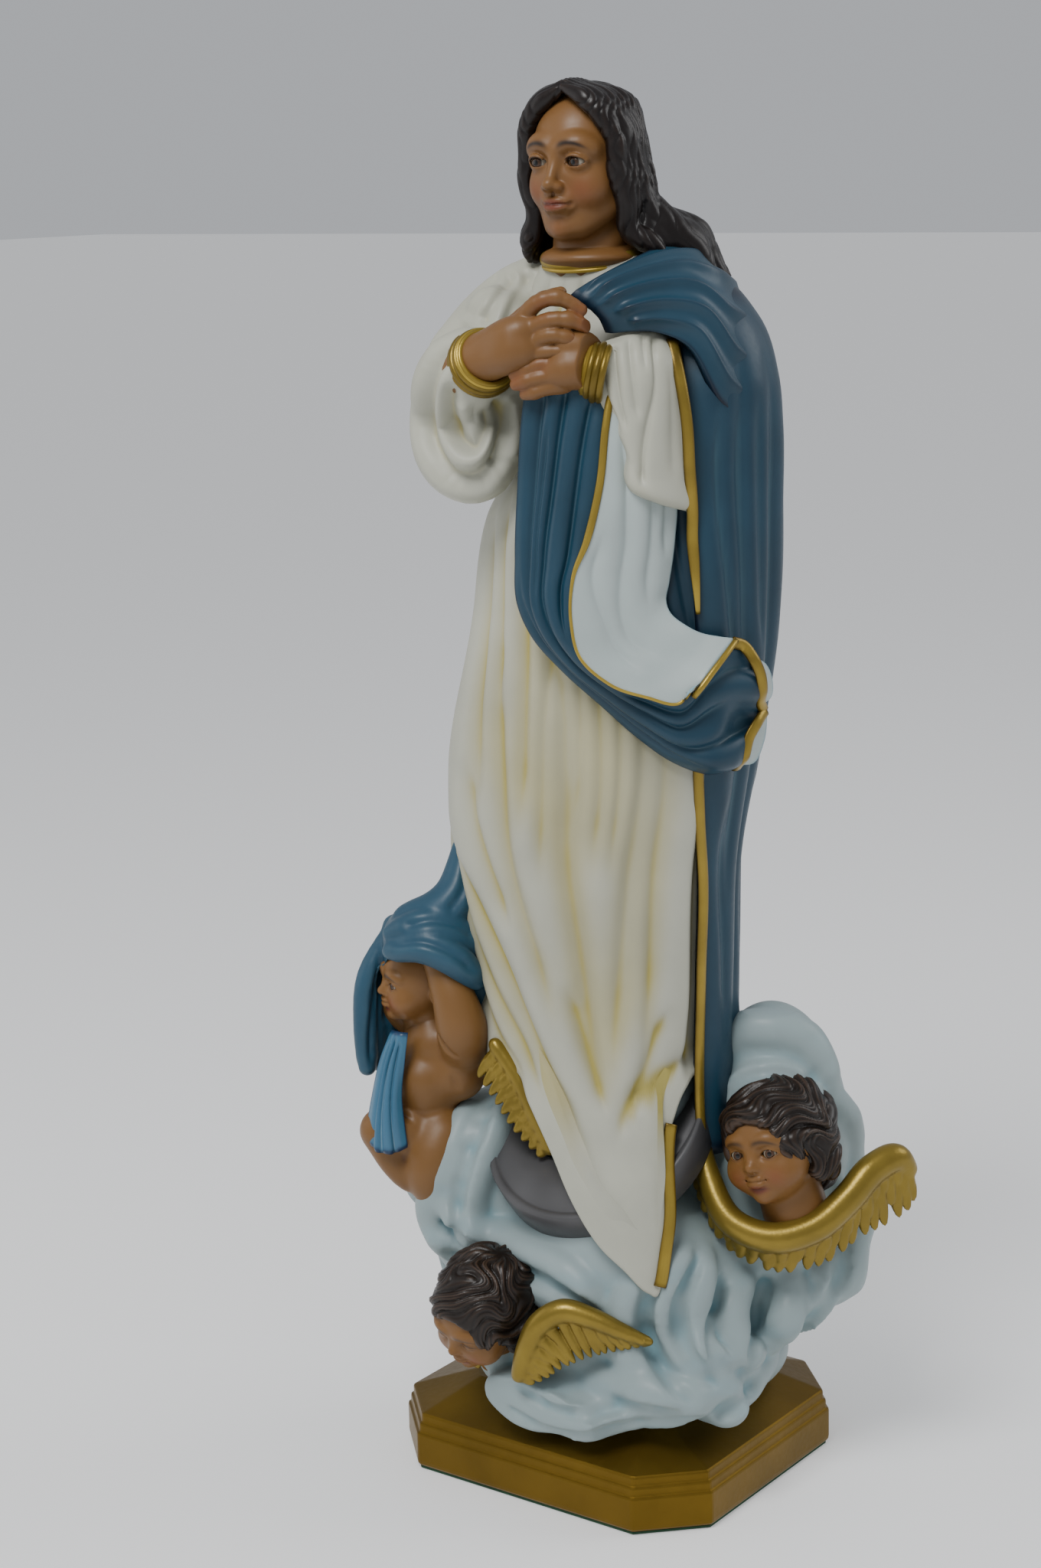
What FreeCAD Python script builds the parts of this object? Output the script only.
"""A painted cast statue: a madonna on clouds and a crescent moon, with three cherubs, on an octagonal gilt plinth.

Frame: millimetres, +Z up, the figure faces -Y and its left hand is on +X.
The origin is the centre of the felt under the plinth.
Every size is typed for a statue 1200 mm tall and scales with the sheet's total_height.
"""
import FreeCAD, Part
import math
import os
import re
import sys

from FreeCAD import Placement, Rotation, Vector

NOMINAL_HEIGHT = 1200
DIMENSIONS = {
    "total_height": 1200,
    "cast_wall": 8,
    "plinth_width": 328,
    "plinth_depth": 294,
    "plinth_chamfer": 49,
    "plinth_side": 32,
    "moulding_rise": 8.5,
    "moulding_inset": 2.5,
    "roof_rise": 21,
    "roof_inset": 62,
    "plinth_wall": 12,
    "board_thick": 18,
    "felt_thick": 2,
    "rod_diameter": 12,
    "nut_across": 19,
    "nut_high": 8,
    "washer_diameter": 44,
    "washer_thick": 3,
    "screw_diameter": 5,
    "screw_head": 9.6,
    "screw_long": 30,
    "dowel_diameter": 8,
    "eye_diameter": 13,
    "cherub_eye_diameter": 11,
    "moon_radius": 100,
    "moon_thick": 34,
}

doc = FreeCAD.newDocument("MadonnaStatue")
sheet = doc.addObject("Spreadsheet::Sheet", "Dims")
NODES = {}
FORMS = {}
RATIO = DIMENSIONS["total_height"] / NOMINAL_HEIGHT


# ---------------------------------------------------------------- sheet and bindings

def fill_sheet():
    """Writes the driving dimensions, and the ratio that scales every typed size."""
    for row, (alias, value) in enumerate(DIMENSIONS.items(), start=1):
        sheet.set(f"A{row}", alias)
        sheet.set(f"B{row}", str(value))
        sheet.setAlias(f"B{row}", alias)
    last = len(DIMENSIONS) + 1
    sheet.set(f"A{last}", "size_ratio")
    sheet.set(f"B{last}", f"=total_height / {NOMINAL_HEIGHT}")
    sheet.setAlias(f"B{last}", "size_ratio")
    doc.recompute()


def size(value):
    """The expression for a size: a number of millimetres at the nominal height, or words naming sheet cells."""
    if isinstance(value, str):
        return re.sub(r"[a-z][a-z_]+", lambda word: f"Dims.{word.group(0)}", value)
    return f"{value} * Dims.size_ratio"


def bind(thing, **sizes):
    """Ties properties to the sheet."""
    for name, value in sizes.items():
        thing.setExpression(name, size(value))
    return thing


def put(thing, at, rotation=None):
    """Places an object, with its position tied to the sheet."""
    if rotation is not None:
        thing.Placement = Placement(Vector(0, 0, 0), rotation)
    for axis, value in zip("xyz", at):
        thing.setExpression(f"Placement.Base.{axis}", size(value))
    return thing


def name_node(thing, label):
    """Marks an object as a piece of the statue, under the name that its file takes."""
    thing.Label = label
    NODES[label] = thing
    return thing


# ---------------------------------------------------------------- shapes

def new(kind):
    return doc.addObject(kind, "Shape")


def turned(direction, across=(1, 0, 0)):
    """The rotation that carries +Z to a direction, and +X as near as it can to another."""
    z = Vector(*direction).normalize()
    x = Vector(*across)
    x = (x - z * x.dot(z)).normalize()
    return Rotation(x, z.cross(x), z, "ZXY")


def ball(at, radii, rotation=None):
    """An ellipsoid with its radii along its own X, Y and Z."""
    shape = new("Part::Ellipsoid")
    bind(shape, Radius2=radii[0], Radius3=radii[1], Radius1=radii[2])
    return put(shape, at, rotation)


def limb(start, end, radius):
    """A rounded limb: an ellipsoid that reaches a little past both points."""
    along = Vector(*end) - Vector(*start)
    middle = (Vector(*start) + Vector(*end)) * 0.5
    return ball(tuple(middle), (radius, radius, along.Length / 2 + radius), turned(tuple(along), (0.3, 0.5, 0.8)))


def rod(at, diameter, height, direction=(0, 0, 1)):
    shape = new("Part::Cylinder")
    bind(shape, Radius=f"({diameter}) / 2" if isinstance(diameter, str) else diameter / 2, Height=height)
    return put(shape, at, turned(direction, (0.3, 0.5, 0.8)))


def fuse(things):
    shape = new("Part::MultiFuse")
    shape.Shapes = things
    return shape


def cut(base, tools):
    """The base with each tool taken away."""
    for tool in tools:
        shape = new("Part::Cut")
        shape.Base, shape.Tool = base, tool
        base = shape
    return base


def common(things):
    shape = new("Part::MultiCommon")
    shape.Shapes = things
    return shape


def compound(things):
    """Separate solids kept under one name."""
    shape = new("Part::Compound")
    shape.Links = things
    return shape


def ellipse(at, radii, rotation=None):
    """A section for a loft, with its two radii along its own X and Y."""
    shape = new("Part::Ellipse")
    wide, deep = radii
    rotation = rotation or Rotation()
    if deep > wide:
        wide, deep = deep, wide
        rotation = rotation.multiply(Rotation(Vector(0, 0, 1), 90))
    bind(shape, MajorRadius=wide, MinorRadius=deep)
    return put(shape, at, rotation)


def loft(sections):
    shape = new("Part::Loft")
    shape.Sections = sections
    shape.Solid = True
    shape.Ruled = True
    return shape


def column(rows, grow=0.0):
    """A loft of level ellipses: each row is height, centre x, centre y, half width and half depth."""
    return loft([ellipse((x, y, z), (wide + grow, deep + grow)) for z, x, y, wide, deep in rows])


def ribbon(rows, across=(0, 0, 1), grow=0.0):
    """A loft along a path: each row is a point, a half width along 'across' and a half thickness."""
    points = [Vector(*row[0]) for row in rows]
    sections = []
    for index, (point, wide, thick) in enumerate(rows):
        before = points[max(index - 1, 0)]
        after = points[min(index + 1, len(points) - 1)]
        rotation = turned(tuple(after - before), across)
        sections.append(ellipse(point, (wide + grow, thick + grow), rotation))
    return loft(sections)


def plate(outline, thickness, at, rotation):
    """A flat piece: an outline of points joined by a smooth closed curve, drawn in a sketch and padded."""
    body = doc.addObject("PartDesign::Body", "Body")
    sketch = body.newObject("Sketcher::SketchObject", "Sketch")
    plane = [f for f in body.Origin.OriginFeatures if f.Role == "XY_Plane"][0]
    sketch.AttachmentSupport = [(plane, "")]
    sketch.MapMode = "FlatFace"
    for arc in outline:
        sketch.addGeometry(arc, False)
    pad = body.newObject("PartDesign::Pad", "Pad")
    pad.Profile = sketch
    bind(pad, Length=thickness)
    pad.Midplane = True
    doc.recompute()
    return put(body, at, rotation)


def arcs_through(points):
    """Arcs that join an even number of outline points in a closed ring: every second point is an arc's middle."""
    ring = [Vector(x, y, 0) for x, y in points]
    ring.append(ring[0])
    return [Part.Arc(ring[i], ring[i + 1], ring[i + 2]) for i in range(0, len(ring) - 1, 2)]


# ---------------------------------------------------------------- plinth, board and felt

def octagon(level, inset):
    """The plinth's outline, a rectangle with its corners cut off, at a level."""
    half_x = DIMENSIONS["plinth_width"] / 2 - inset
    half_y = DIMENSIONS["plinth_depth"] / 2 - inset
    corner = DIMENSIONS["plinth_chamfer"] - (2 - math.sqrt(2)) * inset
    points = [(half_x, corner - half_y), (half_x, half_y - corner), (half_x - corner, half_y)]
    points += [(corner - half_x, half_y), (-half_x, half_y - corner), (-half_x, corner - half_y)]
    points += [(corner - half_x, -half_y), (half_x - corner, -half_y)]
    shape = new("Part::Polygon")
    shape.Nodes = [Vector(x, y, 0) * RATIO for x, y in points]
    shape.Close = True
    return put(shape, (0, 0, level))


def prism(levels):
    """A solid through octagons, each a pair of level and inset."""
    return loft([octagon(level, inset) for level, inset in levels])


FELT_TOP = DIMENSIONS["felt_thick"]
SIDE_TOP = FELT_TOP + DIMENSIONS["plinth_side"]
MOULDING_TOP = SIDE_TOP + 2 * DIMENSIONS["moulding_rise"]
ROOF_TOP = MOULDING_TOP + DIMENSIONS["roof_rise"]
BOARD_TOP = FELT_TOP + DIMENSIONS["board_thick"]
ROD_BORE = DIMENSIONS["rod_diameter"] + 1.5


def plinth():
    """A gilt hollow octagon: plain side, two stepped mouldings and a low hipped top, open underneath."""
    edge, rise, inset = 3, DIMENSIONS["moulding_rise"], DIMENSIONS["moulding_inset"]
    steps = [prism([(FELT_TOP, edge), (FELT_TOP + edge, 0)]), prism([(FELT_TOP + edge, 0), (SIDE_TOP, 0)])]
    for index in (1, 2):
        low = SIDE_TOP + (index - 1) * rise
        steps.append(prism([(low, inset * index), (low + rise, inset * index)]))
    steps.append(prism([(MOULDING_TOP, 2 * inset), (ROOF_TOP, DIMENSIONS["roof_inset"])]))
    wall = DIMENSIONS["plinth_wall"]
    inside = prism([(FELT_TOP - 1, wall), (MOULDING_TOP - wall, wall)])
    bore = rod((0, 0, FELT_TOP), ROD_BORE, 120)
    return name_node(cut(fuse(steps), [inside, bore]), "plinth")


def corner_places():
    """Where a screw goes up through the board at each corner."""
    reach_x = DIMENSIONS["plinth_width"] / 2 - 44
    reach_y = DIMENSIONS["plinth_depth"] / 2 - 44
    return [(i * reach_x, j * reach_y) for i in (-1, 1) for j in (-1, 1)]


def base_board():
    """A plywood board let into the plinth from below, bored for the rod, its nut and four screws."""
    fit_gap = 0.5
    inset = DIMENSIONS["plinth_wall"] + fit_gap
    board = prism([(FELT_TOP, inset), (BOARD_TOP, inset)])
    below = FELT_TOP - 1
    tools = [rod((0, 0, below), ROD_BORE, 40), rod((0, 0, below), "washer_diameter + 4", 13)]
    for x, y in corner_places():
        tools.append(rod((x, y, below), "screw_diameter + 0.6", 30))
        tools.append(rod((x, y, below), "screw_head + 1", 5))
    return name_node(cut(board, tools), "base_board")


def corner_blocks():
    """Four wooden blocks glued in the plinth's corners, which the board is screwed to."""
    wide, high = 30, 17
    blocks = []
    for x, y in corner_places():
        block = new("Part::Box")
        bind(block, Length=wide, Width=wide, Height=high)
        put(block, (x - wide / 2, y - wide / 2, BOARD_TOP))
        blocks.append(cut(block, [rod((x, y, BOARD_TOP - 1), "screw_diameter", high + 2)]))
    return name_node(compound(blocks), "corner_blocks")


def base_screws():
    """Four flat-headed wood screws, up through the board into the corner blocks."""
    low, head_thick = FELT_TOP + 1, 3
    screws = []
    for x, y in corner_places():
        head = rod((x, y, low), "screw_head", head_thick)
        shank = rod((x, y, low + head_thick), "screw_diameter - 0.2", "screw_long - 3")
        screws.append(fuse([head, shank]))
    return name_node(compound(screws), "base_screws")


def base_felt():
    """A felt sheet glued under the board and the plinth's rim. The statue rests on it."""
    edge = 3
    return name_node(prism([(0, edge), (FELT_TOP, edge)]), "base_felt")


# ---------------------------------------------------------------- armature inside the castings

# Each deck is a round plywood board cast into a hollow: its underside, centre x and y, and radius.
CLOUD_DECK = (96, 0, 0, 84)
GOWN_DECK = (318, 4, -14, 60)
DECK_THICK = 14
CHEST_LEVEL = 930
ROD_LOW = FELT_TOP + 1
ROD_TOP = CHEST_LEVEL + 44


def deck(place, label):
    level, x, y, radius = place
    board = rod((x, y, level), 2 * radius, DECK_THICK)
    return name_node(cut(board, [rod((0, 0, level - 1), ROD_BORE, DECK_THICK + 2)]), label)


def nut_stacks():
    """The rod's washers and nuts: one pair sunk in the base board, one on each deck."""
    washer_low = FELT_TOP + 12 - DIMENSIONS["washer_thick"]
    washers, nuts = [washer_low], [washer_low - DIMENSIONS["nut_high"]]
    for level, *_ in (CLOUD_DECK, GOWN_DECK):
        washers.append(level + DECK_THICK)
        nuts.append(level + DECK_THICK + DIMENSIONS["washer_thick"])
    return washers, nuts


def rod_washers():
    rings = []
    for level in nut_stacks()[0]:
        disc = rod((0, 0, level), "washer_diameter", "washer_thick")
        rings.append(cut(disc, [rod((0, 0, level - 1), ROD_BORE, 10)]))
    return name_node(compound(rings), "rod_washers")


def rod_nuts():
    nuts = []
    for level in nut_stacks()[1]:
        nut = new("Part::Prism")
        nut.Polygon = 6
        bind(nut, Circumradius="nut_across / 1.732", Height="nut_high")
        put(nut, (0, 0, level))
        nuts.append(cut(nut, [rod((0, 0, level - 1), "rod_diameter + 0.1", 20)]))
    return name_node(compound(nuts), "rod_nuts")


def armature_rod():
    """A threaded steel rod from the base board up into the chest block."""
    return name_node(rod((0, 0, ROD_LOW), "rod_diameter", ROD_TOP - ROD_LOW), "armature_rod")


def chest_block():
    """A hardwood block cast into the chest, bored for the rod and for the neck dowel."""
    block = new("Part::Box")
    bind(block, Length=64, Width=48, Height=84)
    put(block, (-30, -20, CHEST_LEVEL))
    neck_hole = rod(NECK_DOWEL[0], 14, 200)
    return name_node(cut(block, [rod((0, 0, CHEST_LEVEL - 1), "rod_diameter", 45.5), neck_hole]), "chest_block")


NECK_DOWEL = ((3, 2, 985), (3, -6, 1112))
WRIST_DOWELS = (((-62, -92, 962), (-18, -114, 988)), ((88, -60, 952), (44, -94, 980)))
CHERUB_DOWELS = (((-30, -60, 190), (-44, -118, 178)), ((110, 34, 300), (158, 14, 304)))


def dowel(ends, diameter):
    start, end = Vector(*ends[0]), Vector(*ends[1])
    return rod(ends[0], diameter, (end - start).Length, tuple(end - start))


def dowels():
    """Hardwood dowels glued across the joints of the separately cast head, hands and cherub heads."""
    name_node(dowel(NECK_DOWEL, 14), "neck_dowel")
    name_node(compound([dowel(ends, "dowel_diameter") for ends in WRIST_DOWELS]), "wrist_dowels")
    name_node(compound([dowel(ends, "dowel_diameter + 4") for ends in CHERUB_DOWELS]), "cherub_dowels")


# ---------------------------------------------------------------- gown

# Each row: height, centre x, centre y, half width, half depth.
GOWN_ROWS = [
    (266, 22, -30, 48, 42), (300, 12, -22, 80, 70), (350, 2, -12, 102, 88), (450, -10, -5, 123, 102),
    (555, -16, -4, 136, 112), (640, -8, 0, 139, 115), (760, -2, 4, 118, 98), (842, -3, 5, 100, 86),
    (890, 4, 8, 82, 74), (930, 4, 8, 90, 78), (985, 4, 10, 98, 76), (1020, 4, 12, 90, 60),
    (1044, 4, 8, 58, 46), (1056, 4, 2, 42, 40),
]
# Each row: a point, half width along the hem and half thickness.
TAIL_ROWS = [
    ((28, -58, 410), 78, 22), ((44, -78, 352), 64, 17), ((59, -90, 300), 48, 12),
    ((77, -97, 250), 31, 9), ((98, -91, 206), 8, 6),
]
ACROSS = (0.82, 0.57, 0)
GIRDLE_LEVEL = 888
CLEAR = 0.4


def gown():
    """The white gown and bodice, one hollow casting, open below, with a pointed tail over the moon."""
    wall = DIMENSIONS["cast_wall"]
    outside = fuse([column(GOWN_ROWS), ribbon(TAIL_ROWS, ACROSS)])
    hollow = column([(250, 22, -30, 48, 42)] + GOWN_ROWS[:-3], -wall)
    socket = ball((3, -4, 1066), (28, 27, 32))
    tools = [hollow, NODES["chest_block"], socket, NODES["girdle"], NODES["neck_dowel"]]
    return name_node(cut(outside, tools), "gown")


def gown_tools():
    """The gown's outer form with a little clearance, for cutting the pieces that lie against it."""
    return [FORMS["gown"], FORMS["tail"]]


def girdle():
    """The cord round the waist, set half its depth into the gown."""
    outer = column([(GIRDLE_LEVEL, 4, 8, 86, 78), (GIRDLE_LEVEL + 11, 4, 8, 86, 78)])
    inner = column([(GIRDLE_LEVEL - 1, 4, 8, 80, 72), (GIRDLE_LEVEL + 12, 4, 8, 80, 72)])
    return name_node(cut(outer, [inner]), "girdle")


def hem_trim():
    """The gilt edge down the left side of the gown's tail."""
    rows = [((107, -56, 316), 5, 3), ((111, -71, 262), 6, 3), ((107, -84, 207), 6, 4)]
    return name_node(cut(ribbon(rows, ACROSS), [FORMS["tail"]]), "hem_trim")


def collar():
    """The gilt roll round the neck opening."""
    ring = new("Part::Torus")
    bind(ring, Radius1=43, Radius2=4.5)
    put(ring, (2, -3, 1060), turned((0, -0.16, 1)))
    return name_node(cut(ring, [FORMS["gown"]]), "collar")


# ---------------------------------------------------------------- mantle

MANTLE_ROWS = [
    (336, 2, 0, 114, 98), (400, -4, 2, 123, 105), (450, -6, 4, 129, 110), (555, -10, 4, 142, 120),
    (640, 2, 10, 143, 121), (743, 16, 16, 140, 118), (850, 20, 20, 138, 110), (960, 20, 22, 132, 98),
    (1010, 18, 24, 112, 80), (1038, 12, 24, 80, 58),
]
SIDE_EDGE = -26
FRONT_ACROSS = (0.9, 0.5, 0.6)
FRONT_ROWS = [
    ((36, -86, 958), 30, 10), ((30, -92, 892), 34, 12), ((26, -100, 830), 32, 14), ((34, -104, 776), 30, 15),
    ((58, -98, 728), 34, 16), ((92, -76, 694), 42, 17), ((124, -44, 680), 46, 18), ((152, -14, 684), 47, 20),
]
LINING_ROWS = [
    ((70, -84, 918), 12, 4), ((84, -84, 860), 30, 5), ((86, -98, 800), 38, 5), ((96, -100, 760), 38, 5),
    ((122, -76, 744), 36, 6), ((146, -46, 738), 30, 6), ((166, -18, 732), 24, 6),
]
SHOULDER_ROWS = [
    ((20, -82, 1004), 16, 8), ((54, -64, 1010), 26, 13), ((88, -26, 1008), 36, 22),
    ((98, 20, 1000), 42, 30), ((82, 58, 994), 42, 28),
]


SHOULDER_ACROSS = (0.1, 0.1, 1)


def mantle_back():
    """The blue mantle over the back and the left side, a shell outside the gown."""
    low, high = MANTLE_ROWS[0][0] - 1, MANTLE_ROWS[-1][0] - MANTLE_ROWS[0][0] + 2
    back = block((-260, 8, low), (520, 260, high))
    side = block((64, SIDE_EDGE, low), (200, 60, high))
    shell = common([column(MANTLE_ROWS), fuse([back, side])])
    return name_node(cut(shell, [FORMS["gown"]]), "mantle_back")


def block(corner, lengths):
    shape = new("Part::Box")
    bind(shape, Length=lengths[0], Width=lengths[1], Height=lengths[2])
    return put(shape, corner)


def mantle_shoulder():
    """The mantle's upper fold, from the back over the left shoulder to the hands."""
    fold = ribbon(SHOULDER_ROWS, SHOULDER_ACROSS)
    return name_node(cut(fold, [FORMS["skirt"], FORMS["gown"]]), "mantle_shoulder")


def mantle_front():
    """The mantle's front fall, from under the hands round to its flying end on the left side."""
    fall = ribbon(FRONT_ROWS, FRONT_ACROSS)
    return name_node(cut(fall, [FORMS["gown"], FORMS["mantle"]]), "mantle_front")


def mantle_lining():
    """The pale lining, turned outwards over the front fall."""
    fold = ribbon(LINING_ROWS, FRONT_ACROSS)
    return name_node(cut(fold, [FORMS["front"], FORMS["gown"], FORMS["mantle"]]), "mantle_lining")


def mantle_trim():
    """The gilt braid down the mantle's front edge, above and below the flying end."""
    y = SIDE_EDGE - 6
    upper = ribbon([((118, y, 862), 4.5, 3), ((121, y, 830), 4.5, 3), ((125, y, 772), 4.5, 3)], ACROSS)
    lower = ribbon([((130, y, 620), 4, 3), ((122, y, 500), 4, 3), ((106, y, 352), 4, 3)], ACROSS)
    braids = [cut(braid, [FORMS["gown"]]) for braid in (upper, lower)]
    return name_node(compound(braids), "mantle_trim")


# ---------------------------------------------------------------- arms and hands

RIGHT_SLEEVE = [
    ((-78, 8, 1016), 34, 30), ((-104, -4, 980), 38, 34), ((-122, -26, 938), 44, 38),
    ((-106, -62, 912), 54, 42), ((-76, -92, 936), 44, 34), ((-54, -106, 960), 34, 24),
]
LEFT_SLEEVE = [
    ((112, -6, 968), 34, 30), ((116, -28, 926), 58, 34), ((100, -54, 920), 58, 28), ((82, -74, 950), 36, 24),
    ((72, -84, 968), 27, 20),
]


def right_sleeve():
    """A wide white sleeve that hangs in deep folds under the forearm."""
    form = ribbon(RIGHT_SLEEVE, (0.1, 0.2, 1))
    return name_node(cut(form, [FORMS["gown"], NODES["wrist_dowels"]]), "right_sleeve")


def left_sleeve():
    """The other sleeve, coming out through the mantle's side opening."""
    form = ribbon(LEFT_SLEEVE, (0.1, 0.2, 1))
    behind = block((60, SIDE_EDGE - CLEAR, 800), (200, 200, 300))
    tools = [FORMS["gown"], NODES["wrist_dowels"], behind, FORMS["shoulder"], FORMS["front"]]
    return name_node(cut(form, tools), "left_sleeve")


def cuff(centre, direction, radius, label):
    """A gilt cuff of three rounded ribs round the wrist."""
    ribs = []
    for step in (-7, 0, 7):
        rib = new("Part::Torus")
        bind(rib, Radius1=radius, Radius2=4.5)
        along = Vector(*direction).normalize() * step
        ribs.append(put(rib, tuple(Vector(*centre) + along), turned(direction)))
    return name_node(cut(fuse(ribs), [FORMS["gown"]]), label)


RIGHT_HAND = [((-48, -111, 968), 15, 13), ((-26, -121, 986), 19, 13), ((-2, -125, 999), 20, 10), ((34, -118, 1004), 16, 6)]
RIGHT_THUMB = [((-22, -112, 1002), 8, 7), ((-4, -108, 1022), 7, 6), ((14, -104, 1034), 5, 4)]
LEFT_HAND = [((68, -84, 968), 15, 13), ((46, -97, 968), 18, 11), ((24, -104, 965), 18, 9), ((2, -107, 958), 14, 6)]


def right_hand():
    """The right hand laid over the left, with its thumb on the breast."""
    palm = cut(ribbon(RIGHT_HAND), [FORMS["gown"], NODES["wrist_dowels"]])
    thumb = cut(ribbon(RIGHT_THUMB, (0.3, 1, 0)), [FORMS["gown"], ribbon(RIGHT_HAND, (0, 0, 1), CLEAR)])
    return name_node(compound([palm, thumb]), "right_hand")


def left_hand():
    """The left hand, under the right one."""
    tools = [ribbon(RIGHT_HAND, (0, 0, 1), CLEAR), FORMS["gown"], NODES["wrist_dowels"]]
    return name_node(cut(ribbon(LEFT_HAND), tools), "left_hand")


# ---------------------------------------------------------------- head

HEAD_CENTRE = (4, -16, 1144)
# Each row: height, centre x, centre y, half width, half depth.
HEAD_ROWS = [
    (1046, 3, -4, 26, 24), (1084, 3, -6, 25, 23), (1092, 4, -24, 21, 22), (1104, 4, -22, 30, 34),
    (1126, 4, -18, 37, 42), (1150, 4, -12, 40, 46), (1172, 4, -10, 36, 41), (1186, 4, -8, 22, 26),
]
HAIR_ROWS = [
    (1052, 12, 42, 66, 30), (1072, 10, 34, 62, 36), (1100, 6, 18, 57, 46), (1136, 4, 2, 54, 50),
    (1166, 4, -4, 51, 50), (1186, 4, -6, 40, 41), (1200, 4, -6, 20, 22),
]


def head():
    """The face, skull and neck, cast separately, with sockets for glass eyes."""
    tools = [*NODES["glass_eyes"].Links, NODES["neck_dowel"], NODES["collar"], FORMS["gown"]]
    return name_node(cut(column(HEAD_ROWS), tools), "head")


def eye_pair(centre, spread, diameter, direction):
    """Two glass eyes on either side of a centre."""
    side = Vector(*direction).cross(Vector(0, 0, 1)).normalize() * spread
    return [ball(tuple(Vector(*centre) + side * sign), [DIMENSIONS[diameter] / 2] * 3) for sign in (-1, 1)]


def glass_eyes():
    x, y, z = HEAD_CENTRE
    return name_node(compound(eye_pair((x, y - 36, z), 15, "eye_diameter", (0, -1, 0))), "glass_eyes")


def hair():
    """Long dark hair, parted in the middle, falling behind the shoulders."""
    x, y, z = HEAD_CENTRE
    face = block((x - 34, y - 60, z - 110), (68, 52, 144))
    tools = [face, column(HEAD_ROWS, CLEAR), FORMS["gown"], FORMS["skirt"], FORMS["shoulder"]]
    return name_node(cut(column(HAIR_ROWS), tools), "hair")


# ---------------------------------------------------------------- moon and clouds

MOON_CENTRE = (14, -38, 306)
MOON_TILT = 52


def moon_plate(grow=0.0):
    """A crescent with its horns up, tilted back under the gown."""
    radius = DIMENSIONS["moon_radius"] + grow
    horn = 0.8 * radius
    rise = math.sqrt(radius**2 - horn**2)
    outline = arcs_through([(-horn, rise), (0, -radius), (horn, rise), (0, -0.42 * radius)])
    tilt = math.radians(MOON_TILT)
    thickness = f"moon_thick + {2 * grow}"
    return plate(outline, thickness, MOON_CENTRE, turned((0, -math.cos(tilt), math.sin(tilt))))


def crescent_moon():
    return name_node(cut(moon_plate(), gown_tools() + [FORMS["skirt"]]), "crescent_moon")


CLOUD_BALLS = [
    ((0, 6, 172), (150, 122, 112)), ((-6, -56, 120), (112, 68, 56)), ((130, 72, 286), (76, 68, 118)),
    ((-104, -44, 236), (70, 62, 96)), ((50, 30, 96), (98, 92, 46)), ((0, 62, 250), (116, 70, 126)),
    ((176, 66, 190), (56, 54, 84)), ((40, -50, 210), (96, 66, 60)),
]


def cloud():
    """A hollow bank of cloud on the plinth, open inside for the rod."""
    wall = DIMENSIONS["cast_wall"] + 3
    floor = ROOF_TOP + 12
    outside = common([fuse([ball(*lump) for lump in CLOUD_BALLS]), block((-300, -300, 52), (600, 600, 400))])
    hollows = [ball(at, tuple(radius - wall for radius in radii)) for at, radii in CLOUD_BALLS]
    inside = common([fuse(hollows), block((-300, -300, floor), (600, 600, 250))])
    tools = [inside, NODES["plinth"], *gown_tools(), FORMS["skirt"], FORMS["moon"], NODES["cherub_dowels"],
             rod((0, 0, 40), ROD_BORE, 60)]
    return name_node(cut(outside, tools), "cloud")


def cloud_tools():
    """The lumps of cloud that the cherubs press into, each with a little clearance."""
    return [ball(at, tuple(radius + CLEAR for radius in radii)) for at, radii in CLOUD_BALLS]


# ---------------------------------------------------------------- cherubs

WING_OUTLINE = [(0, 0), (20, 24), (48, 30), (84, 24), (112, 4), (72, -14), (34, -26), (10, -20)]
# Each head: its centre, the way it faces and its size.
SIDE_HEAD = ((174, -2, 310), (-0.34, -0.88, -0.12), 48)
FRONT_HEAD = ((-42, -134, 178), (-0.5, -0.72, -0.62), 42)
BEARER_HEAD = ((-152, -76, 430), (-0.86, -0.5, -0.06), 38)


def wing(place, ratio, thickness, direction, across, mirror=1):
    """A gilt wing: a curved outline padded to a thickness."""
    points = [(x * ratio * mirror, y * ratio) for x, y in WING_OUTLINE]
    return plate(arcs_through(points), thickness, place, turned(direction, across))


# Each row: height, how far forward and half width, as shares of the head's size.
CHILD_HEAD = [
    (-1.15, -0.25, 0.45), (-0.82, -0.1, 0.48), (-0.72, 0.2, 0.6), (-0.35, 0.26, 0.84),
    (0.0, 0.1, 0.92), (0.4, 0.0, 0.86), (0.75, -0.05, 0.6), (0.93, -0.05, 0.25),
]
CHILD_HAIR = [
    (-0.62, -0.42, 0.6), (-0.3, -0.22, 0.92), (0.1, -0.08, 1.05), (0.5, -0.04, 1.0), (0.85, -0.04, 0.7),
    (1.04, -0.04, 0.3),
]


def child_form(place, rows, grow=0.0):
    """A stack of rings round a child's head."""
    (x, y, z), facing, radius = place
    ahead = Vector(facing[0], facing[1], 0).normalize() * radius
    rings = []
    for rise, forward, wide in rows:
        rings.append((z + rise * radius, x + ahead.x * forward, y + ahead.y * forward, wide * radius, wide * radius))
    return column(rings, grow)


def child_head(place, label, tools):
    """A child's head with full cheeks and a short neck."""
    return name_node(cut(child_form(place, CHILD_HEAD), tools), label)


def child_hair(place, label, tools):
    """Short waved hair over the back and top of a child's head."""
    (x, y, z), facing, radius = place
    ahead = Vector(facing[0], facing[1], 0).normalize() * radius
    opening = new("Part::Box")
    bind(opening, Length=1.3 * radius, Width=1.3 * radius, Height=1.3 * radius)
    corner = Vector(x, y, z - radius) + ahead * 0.34 - ahead.cross(Vector(0, 0, 0.65))
    put(opening, tuple(corner), turned((0, 0, 1), tuple(ahead)))
    return name_node(cut(child_form(place, CHILD_HAIR), [child_form(place, CHILD_HEAD, CLEAR), opening] + tools), label)


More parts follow.
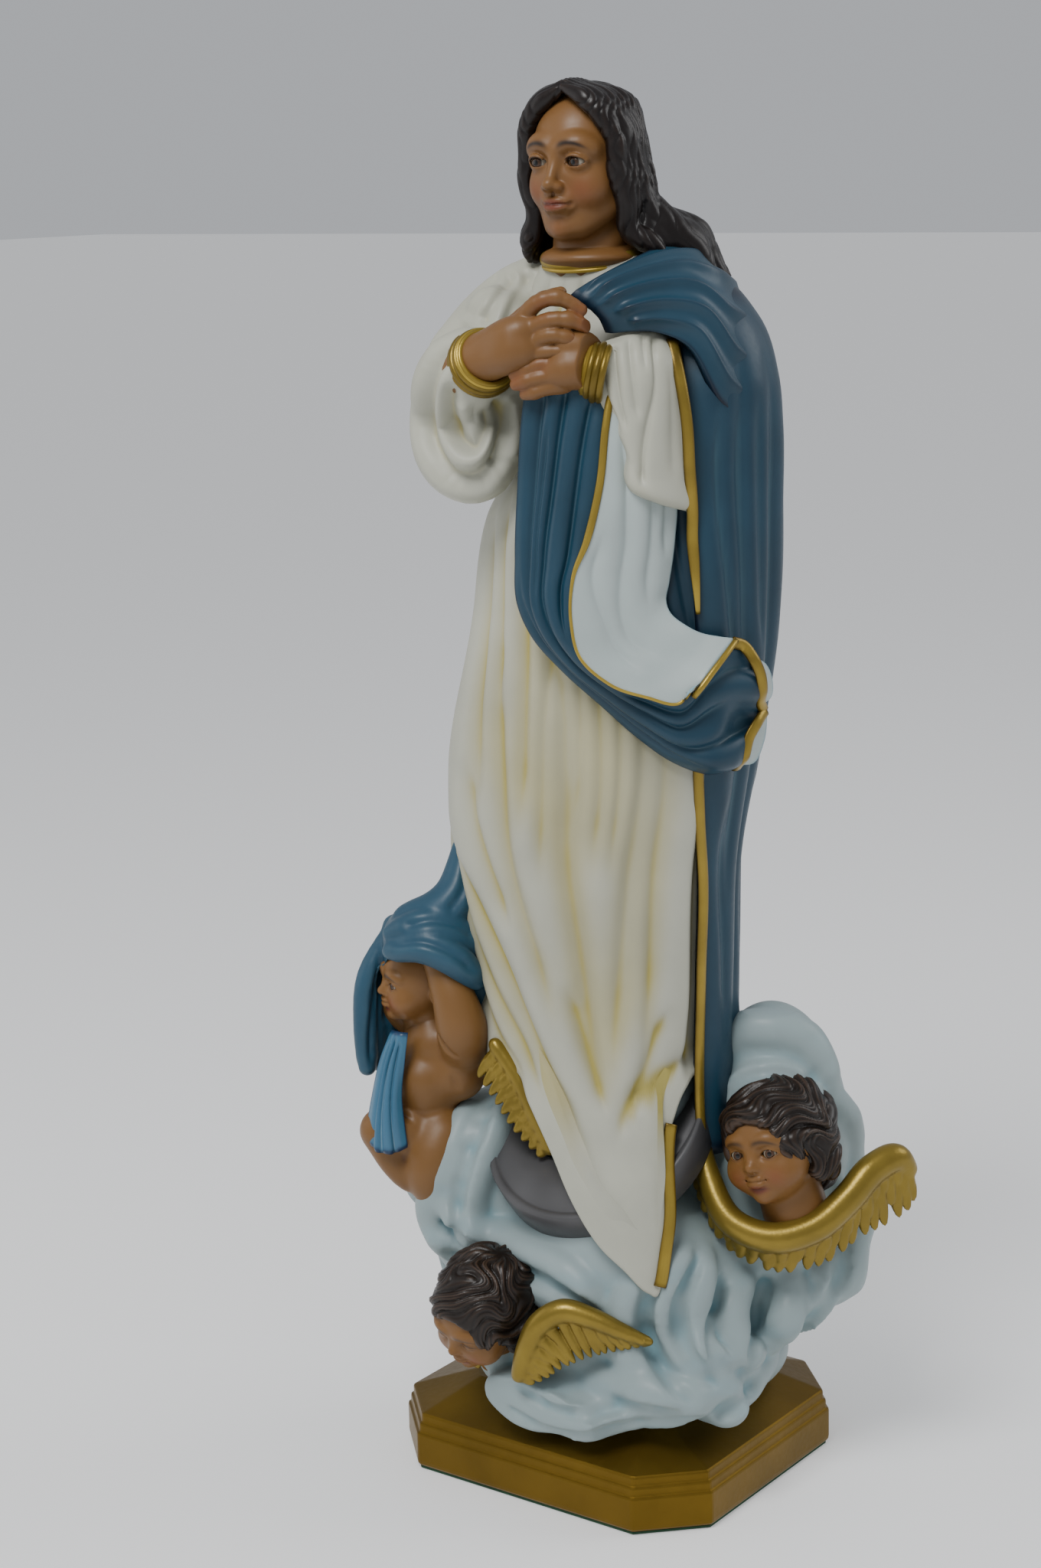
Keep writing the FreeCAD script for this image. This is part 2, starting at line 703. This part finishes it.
def cherub_eyes():
    """Glass eyes of the two cherubs whose eyes are open."""
    pairs = []
    for centre, facing, radius in (SIDE_HEAD, BEARER_HEAD):
        forward = Vector(*facing).normalize()
        front = Vector(*centre) + forward * radius * 0.84
        pairs += eye_pair(tuple(front), radius * 0.3, "cherub_eye_diameter", tuple(forward))
    return name_node(compound(pairs), "cherub_eyes")


def side_cherub():
    """The head on the left, in a collar of two wings."""
    tools = [*NODES["cherub_eyes"].Links[:2], NODES["cherub_dowels"], *cloud_tools()]
    child_head(SIDE_HEAD, "side_cherub_head", tools)
    child_hair(SIDE_HEAD, "side_cherub_hair", cloud_tools())
    body = child_form(SIDE_HEAD, CHILD_HEAD, CLEAR)
    left = wing((168, -34, 236), 0.9, 18, (0.3, -0.9, 0.2), (0.72, 0.5, 0.36))
    right = wing((164, -36, 236), 0.8, 18, (0.3, -0.9, 0.2), (0.82, 0.3, -0.5), -1)
    return name_node(compound([cut(left, [body]), cut(right, [body, left])]), "side_cherub_wings")


def front_cherub():
    """The head low on the front, looking down, with a wing to each side."""
    child_head(FRONT_HEAD, "front_cherub_head", [NODES["cherub_dowels"], *cloud_tools()])
    child_hair(FRONT_HEAD, "front_cherub_hair", cloud_tools())
    body = child_form(FRONT_HEAD, CHILD_HEAD, CLEAR)
    left = wing((-4, -134, 148), 0.92, 14, (0.3, -0.93, 0.1), (0.88, 0.44, 0.1))
    right = wing((-72, -118, 160), 0.7, 14, (-0.7, -0.7, 0.1), (0.7, -0.7, 0), -1)
    return name_node(compound([cut(left, [body]), cut(right, [body])]), "front_cherub_wings")


TORSO_ROWS = [
    (266, -146, -82, 38, 36), (292, -147, -80, 40, 38), (330, -144, -79, 38, 36), (372, -138, -75, 37, 34),
    (396, -140, -75, 27, 25), (404, -142, -75, 17, 16),
]


def bearer():
    """The cherub on the right side, standing in the cloud with the mantle's corner over its head."""
    pieces = [column(TORSO_ROWS)]
    pieces += [limb((-114, -76, 388), (-114, -92, 432), 15), limb((-114, -92, 436), (-132, -78, 470), 12)]
    pieces += [limb((-156, -50, 388), (-180, -50, 432), 14), limb((-180, -50, 434), (-166, -62, 466), 11)]
    neck = child_form(BEARER_HEAD, CHILD_HEAD, CLEAR)
    tools = gown_tools() + [FORMS["moon"], neck, FORMS["skirt"]] + cloud_tools()
    name_node(cut(fuse(pieces), tools), "bearer_body")
    child_head(BEARER_HEAD, "bearer_head", NODES["cherub_eyes"].Links[2:])


VEIL_DROP = [
    ((-160, -30, 466), 30, 6), ((-190, -46, 424), 28, 6), ((-204, -62, 382), 24, 6), ((-206, -76, 344), 20, 5),
]
VEIL_LIFT = [((-122, 26, 560), 26, 6), ((-134, -8, 528), 30, 8), ((-140, -40, 500), 34, 10)]


def bearer_veil():
    """The mantle's lower right corner, carried over the bearer's head."""
    (x, y, z), facing, radius = BEARER_HEAD
    rings = [(z - 30, 46, 44), (z, 52, 50), (z + 30, 48, 47), (z + 54, 34, 34), (z + 64, 14, 14)]
    hood = column([(level, x + 4, y + 3, wide, deep) for level, wide, deep in rings])
    inner = column([(level - 4, x + 4, y + 3, wide - 6, deep - 6) for level, wide, deep in rings])
    front = block((x - 70, y - 70, z - 60), (60, 90, 96))
    shell = cut(hood, [inner, front])
    drop = cut(ribbon(VEIL_DROP, (0.6, -0.8, 0)), [hood])
    lift = cut(ribbon(VEIL_LIFT, (0.7, 0.2, 0.7)), [FORMS["gown"], FORMS["skirt"], hood])
    return name_node(compound([shell, drop, lift]), "bearer_veil")


def bearer_sash():
    """The light blue cloth across the bearer's hip."""
    rows = [((-176, -100, 368), 8, 4), ((-184, -108, 340), 12, 4), ((-190, -112, 308), 16, 5), ((-190, -112, 284), 17, 4)]
    return name_node(cut(ribbon(rows, (0.8, 0.5, 0)), [column(TORSO_ROWS, CLEAR)]), "bearer_sash")


def bearer_wings():
    """Two short gilt wings at the bearer's back."""
    near = wing((-96, -104, 392), 0.9, 10, (0.3, -0.85, 0.35), (0.62, 0.1, -0.85))
    far = wing((-132, -22, 392), 0.6, 10, (-0.9, 0.35, 0.1), (0.2, 0.5, -0.85))
    tools = gown_tools() + [column(TORSO_ROWS, CLEAR), FORMS["skirt"]]
    return name_node(compound([cut(near, tools), cut(far, tools)]), "bearer_wings")


# ---------------------------------------------------------------- build, check and write

def make_forms():
    """Outer forms with a little clearance, each made once, which cut the pieces that lie on them."""
    FORMS["gown"] = column(GOWN_ROWS, CLEAR)
    FORMS["tail"] = ribbon(TAIL_ROWS, ACROSS, CLEAR)
    FORMS["skirt"] = column(MANTLE_ROWS, CLEAR)
    FORMS["shoulder"] = ribbon(SHOULDER_ROWS, SHOULDER_ACROSS, CLEAR)
    FORMS["front"] = ribbon(FRONT_ROWS, FRONT_ACROSS, CLEAR)
    FORMS["moon"] = moon_plate(CLEAR)


def build():
    fill_sheet()
    make_forms()
    plinth()
    base_board()
    corner_blocks()
    base_screws()
    base_felt()
    armature_rod()
    rod_washers()
    rod_nuts()
    chest_block()
    dowels()
    girdle()
    gown()
    FORMS["mantle"] = mantle_back()
    mantle_shoulder()
    mantle_front()
    mantle_lining()
    hem_trim()
    collar()
    mantle_trim()
    right_sleeve()
    left_sleeve()
    right_hand()
    left_hand()
    cuff((-42, -114, 975), (0.78, -0.3, 0.55), 23, "right_cuff")
    cuff((60, -90, 970), (-0.72, -0.5, 0.45), 21, "left_cuff")
    glass_eyes()
    head()
    hair()
    crescent_moon()
    deck(CLOUD_DECK, "cloud_deck")
    deck(GOWN_DECK, "gown_deck")
    cloud()
    cherub_eyes()
    side_cherub()
    front_cherub()
    bearer()
    bearer_veil()
    bearer_sash()
    bearer_wings()


def check():
    """Stops the build if any object failed or any piece is not a valid solid."""
    doc.recompute()
    failed = [o.Name for o in doc.Objects if "Invalid" in o.State or "Error" in o.State]
    if failed:
        sys.exit(f"these objects failed: {failed}")
    for label, thing in NODES.items():
        shape = thing.Shape
        if shape.isNull() or not shape.isValid() or not shape.Solids or shape.Volume <= 0:
            sys.exit(f"{label} is not a valid solid")


def write():
    os.makedirs("parts", exist_ok=True)
    for label, thing in NODES.items():
        thing.Shape.exportStep(f"parts/{label}.step")
        print(label, len(thing.Shape.Solids), round(thing.Shape.Volume / 1000), "cm3")


build()
check()
write()
